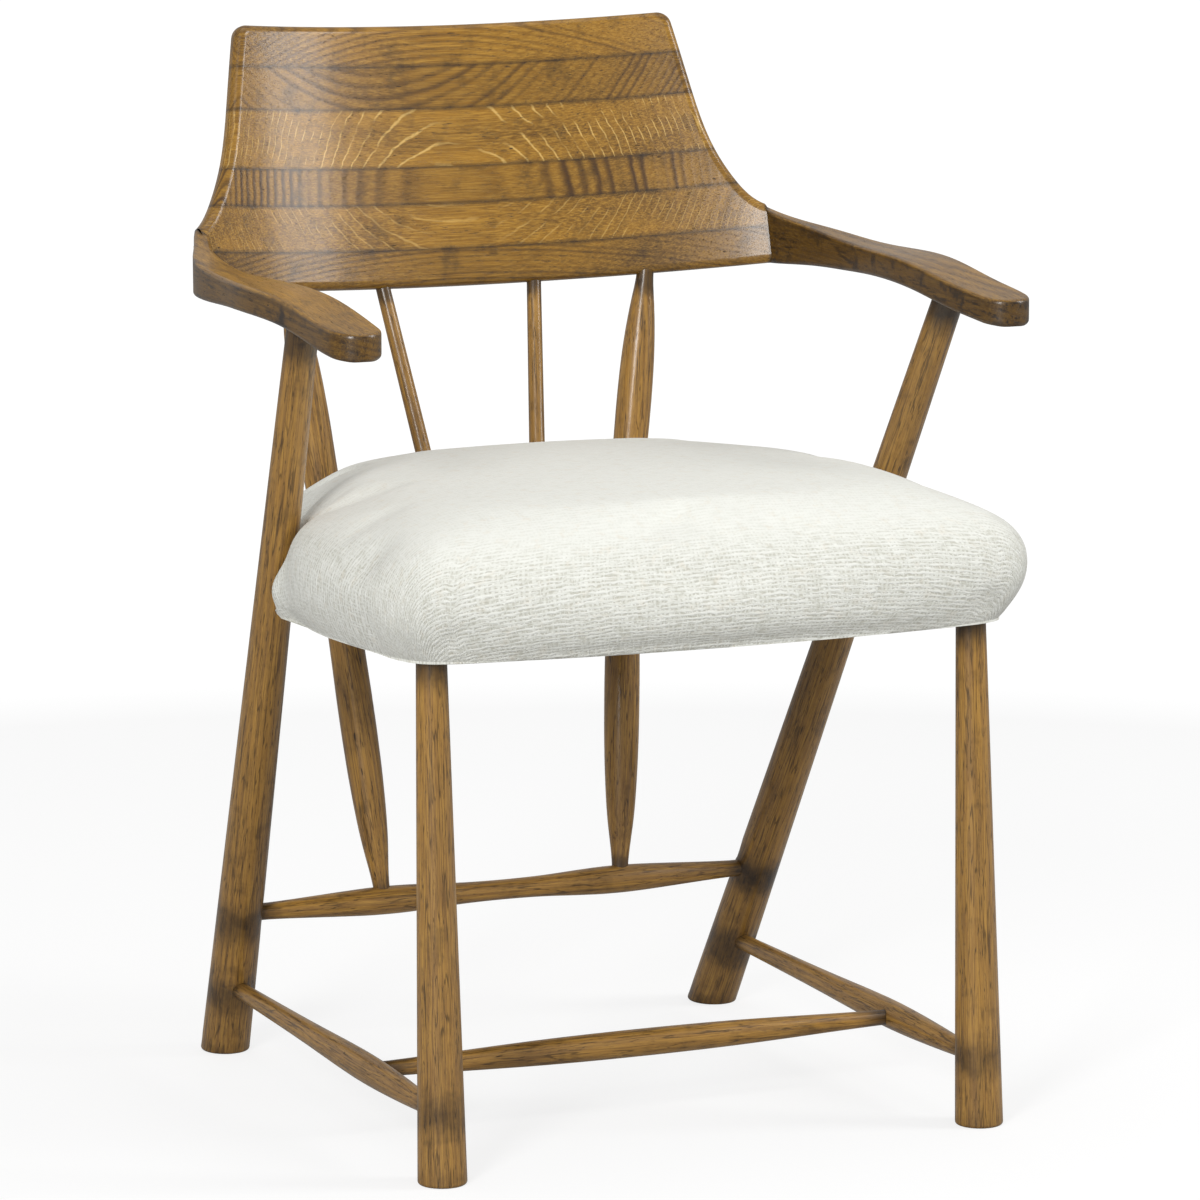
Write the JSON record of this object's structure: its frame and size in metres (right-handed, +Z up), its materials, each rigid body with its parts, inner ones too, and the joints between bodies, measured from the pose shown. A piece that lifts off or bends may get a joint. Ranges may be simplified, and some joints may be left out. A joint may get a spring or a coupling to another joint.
{
  "type": "captains chair",
  "caption": "Open captains chair with a curved glued-up wooden back flowing into carved arms, raked rear posts, turned stretchers and spindles, and a crowned fabric seat.",
  "frame": {"origin": "on the floor, under the middle of the chair's bounding box", "axes": "+Z up; the chair faces -Y; +X is to the right of someone looking at the chair's front"},
  "size_m": [0.5972, 0.5951, 0.8406],
  "materials": {
    "oak": "medium brown oak under satin lacquer, with dark pores and distressed edges",
    "frame_wood": "plain sawn hardwood, hidden by the upholstery",
    "dowel_wood": "plain beech dowel",
    "plywood": "sanded plywood",
    "seat_fabric": "cream slub-weave upholstery fabric",
    "foam": "upholstery foam",
    "dust_cloth": "black non-woven dust cloth",
    "steel": "zinc-plated steel fasteners"
  },
  "bodies": {
    "root": {"arm_dowels": "dowel_wood", "arm_left": "oak", "arm_right": "oak", "back_board_1": "oak", "back_board_2": "oak", "back_board_3": "oak", "back_board_4": "oak", "back_board_5": "oak", "back_board_6": "oak", "cross_stretcher": "oak", "deck_screws": "steel", "front_leg_left": "oak", "front_leg_right": "oak", "long_spindle_left": "oak", "long_spindle_right": "oak", "post_bolts": "steel", "rail_dowels": "dowel_wood", "rear_post_left": "oak", "rear_post_right": "oak", "rear_stretcher": "oak", "seat_corner_block_left": "frame_wood", "seat_corner_block_right": "frame_wood", "seat_cover": "seat_fabric", "seat_deck": "plywood", "seat_dust_cover": "dust_cloth", "seat_foam": "foam", "seat_front_rail": "frame_wood", "seat_rear_rail": "oak", "seat_side_rail_left": "frame_wood", "seat_side_rail_right": "frame_wood", "short_spindle_left": "oak", "short_spindle_right": "oak", "side_stretcher_left": "oak", "side_stretcher_right": "oak"}
  },
  "joints": []
}
